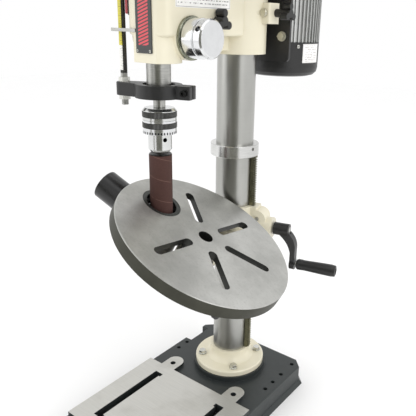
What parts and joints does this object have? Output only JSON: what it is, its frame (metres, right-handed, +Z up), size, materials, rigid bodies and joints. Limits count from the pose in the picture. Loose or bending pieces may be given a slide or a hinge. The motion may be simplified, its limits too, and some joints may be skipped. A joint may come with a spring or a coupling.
{
  "type": "drill press",
  "caption": "Bench drill press on a round column, with a sanding drum in the chuck passing through a tilted, slotted round table with a dust port, and a belt drive under a lid.",
  "frame": {"origin": "on the floor plane, on the column's axis, at the underside of the base", "axes": "+Z up along the column, -Y to the operator's side where the spindle is, +X to the operator's right"},
  "size_m": [0.3698, 0.6292, 0.965],
  "materials": {
    "base_paint": "satin dark grey enamel",
    "cream_paint": "gloss cream enamel",
    "machined_iron": "ground, oiled",
    "black_paint": "satin black",
    "steel": "ground",
    "dark_steel": "oiled black",
    "chrome": "polished",
    "black_plastic": "fine grain",
    "red_plastic": "smooth",
    "green_plastic": "smooth",
    "panel": "printed",
    "aluminium": "die cast",
    "belt_rubber": "moulded",
    "rubber": "moulded",
    "abrasive": "aluminium oxide grit on cloth",
    "insert_plate": "turned"
  },
  "bodies": {
    "stand": {"base_casting": "base_paint", "column_flange": "cream_paint", "flange_bolts": "steel", "column_tube": "steel", "rack_ring": "cream_paint", "set_screws": "steel", "head_casting": "cream_paint", "front_panel": "panel", "depth_pointer": "steel", "switch_box": "black_plastic", "spring_cap": "cream_paint", "return_spring": "dark_steel", "idler_pivot": "steel", "drive_belts": "belt_rubber", "guard_pan": "black_paint", "hinge_pins": "steel"},
    "rack": {"column_rack": "steel"},
    "carriage": {"bracket_casting": "cream_paint", "tilt_bolt": "steel"},
    "gear": {"lift_gear": "steel"},
    "crank": {"worm_shaft": "steel", "crank_arm": "black_paint", "crank_pin": "steel"},
    "crank_handle": {"crank_grip": "black_plastic"},
    "clamp_lever": {"bracket_clamp_lever": "black_plastic"},
    "arm": {"table_arm": "cream_paint"},
    "lock_lever": {"table_lock": "black_plastic"},
    "table": {"table_top": "machined_iron", "table_insert": "insert_plate", "dust_chamber": "black_plastic", "dust_port": "black_plastic"},
    "quill_group": {"quill": "steel", "quill_bearings": "steel", "depth_collar": "black_paint", "depth_rod": "dark_steel", "collar_fasteners": "dark_steel"},
    "spindle_group": {"spindle": "steel", "chuck_body": "chrome", "drum_arbor": "steel", "drum_core": "rubber", "abrasive_sleeve": "abrasive"},
    "sleeve": {"chuck_sleeve": "chrome"},
    "jaw_1": {"chuck_jaw_1": "dark_steel"},
    "jaw_2": {"chuck_jaw_2": "dark_steel"},
    "jaw_3": {"chuck_jaw_3": "dark_steel"},
    "feed": {"feed_hub": "chrome", "hub_ring": "dark_steel", "pinion_shaft": "steel"},
    "side_lock": {"side_lock_knob": "black_plastic"},
    "paddle": {"stop_paddle": "red_plastic"},
    "button": {"on_button": "green_plastic"},
    "lid": {"guard_lid": "black_paint"},
    "spindle_drive": {"spindle_pulley": "aluminium"},
    "idler": {"idler_pulley": "aluminium"},
    "motor": {"motor_case": "aluminium", "motor_caps": "black_paint", "motor_mount": "black_paint"},
    "rotor": {"motor_rotor": "steel", "motor_pulley": "aluminium"},
    "slide_lock": {"tension_knob": "black_plastic"}
  },
  "joints": [
    {"name": "table_swing", "type": "hinge", "parent": "stand", "child": "rack", "pos_m": [0, 0, 0.4], "axis": [0, 0, 1], "range_deg": [-0.6, 0.6]},
    {"name": "table_lift", "type": "slide", "parent": "rack", "child": "carriage", "axis": [0, 0, 1], "range_m": [-0.2, 0.01]},
    {"name": "lift_gear_turn", "type": "hinge", "parent": "carriage", "child": "gear", "pos_m": [0.05536, 0.0144, 0.401], "axis": [0.2517, -0.9678, 0], "range_deg": [-956.93, 49.75]},
    {"name": "crank_turn", "type": "hinge", "parent": "carriage", "child": "crank", "pos_m": [0.09678, 0.02517, 0.382], "axis": [0.9678, 0.2517, 0], "range_deg": [-15288.87, 773.94]},
    {"name": "crank_grip_spin", "type": "hinge", "parent": "crank", "child": "crank_handle", "pos_m": [0.1742, 0.04531, 0.313], "axis": [0.9678, 0.2517, 0], "continuous": true},
    {"name": "bracket_clamp", "type": "hinge", "parent": "carriage", "child": "clamp_lever", "pos_m": [-0.0146, 0.05613, 0.377], "axis": [0.9678, 0.2517, 0], "range_deg": [-5, 60]},
    {"name": "table_tilt", "type": "hinge", "parent": "carriage", "child": "arm", "pos_m": [0.01762, -0.06775, 0.3648], "axis": [0.2517, -0.9678, 0], "range_deg": [-0.6, 0.6]},
    {"name": "table_lock_turn", "type": "hinge", "parent": "arm", "child": "lock_lever", "pos_m": [0.08886, -0.22138, 0.35396], "axis": [0.4261, 0.8415, -0.3322], "range_deg": [-25, 25]},
    {"name": "table_rotate", "type": "hinge", "parent": "arm", "child": "table", "pos_m": [0.08549, -0.18938, 0.4307], "axis": [0.4547, 0.1183, 0.8828], "range_deg": [-0.6, 0.6]},
    {"name": "quill_feed", "type": "slide", "parent": "stand", "child": "quill_group", "axis": [0, 0, 1], "range_m": [-0.045, 0], "stiffness_N_per_m": 250, "springref_m": 0.4},
    {"name": "spindle_spin", "type": "hinge", "parent": "quill_group", "child": "spindle_group", "pos_m": [0, -0.2048, 0.62], "axis": [0, 0, 1], "continuous": true},
    {"name": "chuck_sleeve_turn", "type": "hinge", "parent": "spindle_group", "child": "sleeve", "pos_m": [0, -0.2048, 0.606], "axis": [0, 0, 1], "range_deg": [0, 720]},
    {"name": "jaw_1_slide", "type": "slide", "parent": "spindle_group", "child": "jaw_1", "axis": [0.2011, 0.1629, 0.9659], "range_m": [0, 0.0042]},
    {"name": "jaw_2_slide", "type": "slide", "parent": "spindle_group", "child": "jaw_2", "axis": [-0.2416, 0.0928, 0.9659], "range_m": [0, 0.0042]},
    {"name": "jaw_3_slide", "type": "slide", "parent": "spindle_group", "child": "jaw_3", "axis": [0.0405, -0.2556, 0.9659], "range_m": [0, 0.0042]},
    {"name": "feed_hub_turn", "type": "hinge", "parent": "stand", "child": "feed", "pos_m": [0.06, -0.176, 0.744], "axis": [1, 0, 0], "range_deg": [-1, 246.55]},
    {"name": "side_lock_turn", "type": "hinge", "parent": "stand", "child": "side_lock", "pos_m": [0.05, -0.115, 0.77], "axis": [1, 0, 0], "range_deg": [0, 180]},
    {"name": "stop_paddle_lift", "type": "hinge", "parent": "stand", "child": "paddle", "pos_m": [-0.0605, -0.1878, 0.829], "axis": [0, 1, 0], "range_deg": [0, 75]},
    {"name": "on_button_press", "type": "slide", "parent": "stand", "child": "button", "axis": [1, 0, 0], "range_m": [0, 0.003], "stiffness_N_per_m": 400, "springref_m": -0.006},
    {"name": "guard_lid_hinge", "type": "hinge", "parent": "stand", "child": "lid", "pos_m": [-0.093, -0.015, 0.8722], "axis": [0, -1, 0], "range_deg": [0, 100]},
    {"name": "pulley_spin", "type": "hinge", "parent": "stand", "child": "spindle_drive", "pos_m": [0, -0.2048, 0.895], "axis": [0, 0, 1], "continuous": true},
    {"name": "idler_spin", "type": "hinge", "parent": "stand", "child": "idler", "pos_m": [0, -0.04, 0.895], "axis": [0, 0, 1], "continuous": true},
    {"name": "motor_tension", "type": "slide", "parent": "stand", "child": "motor", "axis": [0, 1, 0], "range_m": [-0.012, 0]},
    {"name": "motor_spin", "type": "hinge", "parent": "motor", "child": "rotor", "pos_m": [0, 0.1562, 0.8], "axis": [0, 0, 1], "continuous": true},
    {"name": "slide_lock_turn", "type": "hinge", "parent": "stand", "child": "slide_lock", "pos_m": [0.08, 0.021, 0.786], "axis": [1, 0, 0], "range_deg": [-180, 0]}
  ],
  "couplings": [
    {"joint": "lift_gear_turn", "follows": "table_lift", "rad_per_m": 83.333},
    {"joint": "crank_turn", "follows": "table_lift", "rad_per_m": 1333.3},
    {"joint": "feed_hub_turn", "follows": "quill_feed", "rad_per_m": -95.238},
    {"joint": "spindle_spin", "follows": "pulley_spin", "ratio": 1},
    {"joint": "idler_spin", "follows": "pulley_spin", "ratio": 1.2651},
    {"joint": "motor_spin", "follows": "pulley_spin", "ratio": 2.6338},
    {"joint": "jaw_1_slide", "follows": "chuck_sleeve_turn", "m_per_rad": 0.00031831},
    {"joint": "jaw_2_slide", "follows": "chuck_sleeve_turn", "m_per_rad": 0.00031831},
    {"joint": "jaw_3_slide", "follows": "chuck_sleeve_turn", "m_per_rad": 0.00031831}
  ]
}
